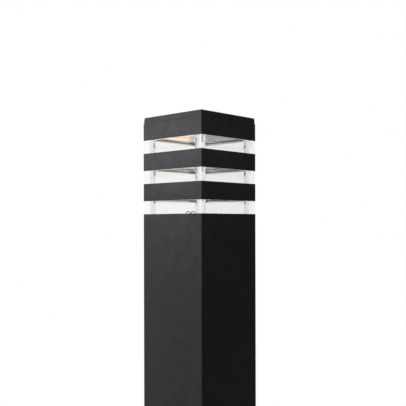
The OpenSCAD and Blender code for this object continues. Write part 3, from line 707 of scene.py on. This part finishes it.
# %% Seals and gasket
loop_tree, start = tree_with(
    "square_loop", ["Outer width", "Strip width", "Strip height", "Corner radius"])
path_width = maths(loop_tree, "SUBTRACT", start["Outer width"], start["Strip width"])
square = add(loop_tree, "GeometryNodeCurvePrimitiveQuadrilateral",
             {"Width": path_width, "Height": path_width})
rounded = add(loop_tree, "GeometryNodeFilletCurve",
              {"Curve": square.outputs[0], "Count": 8, "Radius": start["Corner radius"]}, mode="POLY")
upright = add(loop_tree, "GeometryNodeSetCurveNormal", {"Curve": rounded.outputs[0]}, mode="Z_UP")
strip = add(loop_tree, "GeometryNodeCurvePrimitiveQuadrilateral",
            {"Width": start["Strip width"], "Height": start["Strip height"]})
swept = add(loop_tree, "GeometryNodeCurveToMesh",
            {"Curve": upright.outputs[0], "Profile Curve": strip.outputs[0]})
end_tree(loop_tree, start, [swept.outputs[0]])


def square_loops(node, strip_mm, name):
    boxes = bodies_in(node)
    low, high = boxes[0]
    places = [(a + b) / 2 for a, b in boxes]
    sizes = {"Outer width": high.x - low.x, "Strip width": strip_mm * MM, "Strip height": high.z - low.z,
             "Corner radius": 0.6 * strip_mm * MM}
    piece = grow(loop_tree, name, places, rubber, sizes, [node])
    print(name, len(places), "loops", [round(v / MM, 2) for v in piece.dimensions])


square_loops("ring_seals", 1.0, "ring_seals_swept")
square_loops("lid_gasket", 2.0, "lid_gasket_swept")

# %% [markdown]
# ## Floor
# The post stands on a pale matt floor. The floor is a disc that fades out towards its rim, so
# no horizon cuts across behind the post. It also glows a little, for the camera alone: that
# keeps it pale in the picture and throws no extra light up on the black paint.

# %% Floor
def pale_floor(radius, glow_strength):
    mesh = bpy.data.meshes.new("floor")
    shape = bmesh.new()
    bmesh.ops.create_circle(shape, cap_ends=True, segments=96, radius=radius)
    shape.to_mesh(mesh)
    shape.free()
    material, tree, shader, place = new_material(
        "floor_pale", Base_Color=(0.9, 0.9, 0.9, 1.0), Roughness=0.9, Emission_Color=(1.0, 1.0, 1.0, 1.0))
    away = add(tree, "ShaderNodeVectorMath", {0: place}, operation="LENGTH")
    fade = add(tree, "ShaderNodeMapRange",
               {"Value": away.outputs["Value"], "From Min": 0.5 * radius, "From Max": radius,
                "To Min": 1.0, "To Max": 0.0}, interpolation_type="SMOOTHSTEP")
    tree.links.new(fade.outputs["Result"], shader.inputs["Alpha"])
    to_camera = add(tree, "ShaderNodeLightPath").outputs["Is Camera Ray"]
    glow = add(tree, "ShaderNodeMath", {0: to_camera, 1: glow_strength}, operation="MULTIPLY")
    tree.links.new(glow.outputs[0], shader.inputs["Emission Strength"])
    mesh.materials.append(material)
    floor = bpy.data.objects.new("floor", mesh)
    bpy.context.scene.collection.objects.link(floor)
    floor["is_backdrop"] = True
    return floor


floor = pale_floor(1.3, 0.45)
print("floor", round(floor.dimensions.x, 2), "m across")

# %% [markdown]
# ## The white room
# The world is the room around the post. To the camera, and through the clear windows, it is
# plain white. What it throws on the paint is weaker: dim in front and on the right, and
# bright only from the far left, so the left face comes out lighter than the right one.

# %% The white room
room_from_right, room_from_left = 0.155, 1.3     # strength of the room's light on the paint

world = bpy.data.worlds.new("studio")
bpy.context.scene.world = world
world.use_nodes = True
sky = world.node_tree
background = sky.nodes["Background"]
direction = add(sky, "ShaderNodeTexCoord").outputs["Generated"]
path = add(sky, "ShaderNodeLightPath").outputs
rightward = Vector((math.cos(camera_turn), math.sin(camera_turn), 0))
across = add(sky, "ShaderNodeVectorMath", {0: direction, 1: rightward},
             operation="DOT_PRODUCT").outputs["Value"]
behind = add(sky, "ShaderNodeVectorMath", {0: direction, 1: -toward_camera},
             operation="DOT_PRODUCT").outputs["Value"]
height = add(sky, "ShaderNodeSeparateXYZ", {0: direction}).outputs["Z"]
seen = add(sky, "ShaderNodeMath", {0: path["Is Camera Ray"], 1: path["Is Transmission Ray"]},
           operation="MAXIMUM").outputs[0]
room_light = add(sky, "ShaderNodeMapRange",
                 {"Value": across, "From Min": -0.1, "From Max": -0.9,
                  "To Min": room_from_right, "To Max": room_from_left},
                 interpolation_type="SMOOTHSTEP").outputs["Result"]
strength = add(sky, "ShaderNodeMix", {"Factor": seen, 2: room_light, 3: 1.0}).outputs[0]
sky.links.new(strength, background.inputs["Strength"])
print("room light on the paint", room_from_right, "to", room_from_left)

# %% [markdown]
# ## Cards under the reflectors
# A bright sheet has no colour of its own: it shows what lies where it points. The reflectors
# face down, so from the front they mirror what is low behind the post, seen out through the
# far windows. Large soft cards lie there: cream on the left, slate just right of the middle
# and pale grey beyond. A ramp across the room holds their colours, and three soft edges keep
# them below eye level, above the floor and behind the post.

# %% Cards under the reflectors
card_strength = 1.5
card_reach = 0.09                                # half width of the cards, as seen from the post
card_tones = [(0.0, "e6dfe0"), (0.14, "f6e0cc"), (0.45, "f6d6b8"), (0.49, "9aa7aa"),
              (0.53, "757d82"), (0.75, "8b979c"), (1.0, "b9c6ca")]


def soft_edge(value, outside, inside):
    """From 0 outside to 1 inside, without a hard line."""
    return add(sky, "ShaderNodeMapRange", {"Value": value, "From Min": outside, "From Max": inside},
               interpolation_type="SMOOTHSTEP").outputs["Result"]


side = add(sky, "ShaderNodeMapRange", {"Value": across, "From Min": -card_reach, "From Max": card_reach})
cards = add(sky, "ShaderNodeValToRGB", {"Fac": side.outputs["Result"]})
stops = cards.color_ramp.elements
stops[0].color = tone(card_tones[0][1])
stops[-1].color = tone(card_tones[-1][1])
for stop, code in card_tones[1:-1]:
    stops.new(stop).color = tone(code)
low_edge = soft_edge(height, -0.30, -0.24)
high_edge = soft_edge(height, 0.008, -0.004)
far_edge = soft_edge(behind, 0.75, 0.90)
card = add(sky, "ShaderNodeMath", {0: low_edge, 1: high_edge}, operation="MULTIPLY").outputs[0]
card = add(sky, "ShaderNodeMath", {0: card, 1: far_edge}, operation="MULTIPLY").outputs[0]
card = add(sky, "ShaderNodeMath", {0: card, 1: path["Is Transmission Ray"]},
           operation="MULTIPLY").outputs[0]
lit = add(sky, "ShaderNodeVectorMath", {0: cards.outputs["Color"], "Scale": card_strength},
          operation="SCALE").outputs[0]
room = add(sky, "ShaderNodeMix", {"Factor": card, 6: (1.0, 1.0, 1.0, 1.0), 7: lit}, data_type="RGBA")
sky.links.new(room.outputs[2], background.inputs["Color"])
print("cards", [code for stop, code in card_tones])

# %% [markdown]
# ## Strip lamps
# Two soft strips hang close to the head, one before each front face. Being so close, they
# light the bands most and fade down the post. The left one does nearly all the work, and the
# right one only lifts the dark face a little at the top. Neither shows in a reflection.

# %% Strip lamps
strip_gap = 0.135                                # from the paint to the lamp
strip_size = (0.2, 0.04)
band_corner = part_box("band_mid")[1]
strip_height = band_corner.z + 0.02
strip_watts = {"left_strip": (Vector((-1, 0, 0)), 0.68), "right_strip": (Vector((0, -1, 0)), 0.045)}
for name, (outward, watts) in strip_watts.items():
    lamp = bpy.data.lights.new(name, "AREA")
    lamp.shape = "RECTANGLE"
    lamp.size, lamp.size_y = strip_size
    lamp.energy = watts
    strip = bpy.data.objects.new(name, lamp)
    bpy.context.scene.collection.objects.link(strip)
    strip.location = outward * (band_corner.x + strip_gap) + Vector((0, 0, strip_height))
    strip.rotation_euler = (-outward).to_track_quat("-Z", "Y").to_euler()
    strip.visible_camera = False
    strip.visible_glossy = False
    strip.visible_transmission = False
    print(name, watts, "W at", [round(v, 3) for v in strip.location])

# %% [markdown]
# ## Light through thick acrylic
# Light that enters a window near its corner is turned back many times inside the wall before
# it leaves. With few bounces those corners would go black, so the limits are raised.

# %% Light through thick acrylic
rays = bpy.context.scene.cycles
rays.max_bounces = 40
rays.glossy_bounces = 32
rays.transmission_bounces = 32
bpy.context.scene.view_settings.view_transform = "Standard"
print("up to", rays.transmission_bounces, "passes through the acrylic")

# %% [markdown]
# ## Measure and finish
# The looks must not change the size of the design, so the last cell measures the finished post and prints its
# box.

# %% Measure the finished post
low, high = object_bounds()
print("finished box", [round(v, 4) for v in low], [round(v, 4) for v in high])
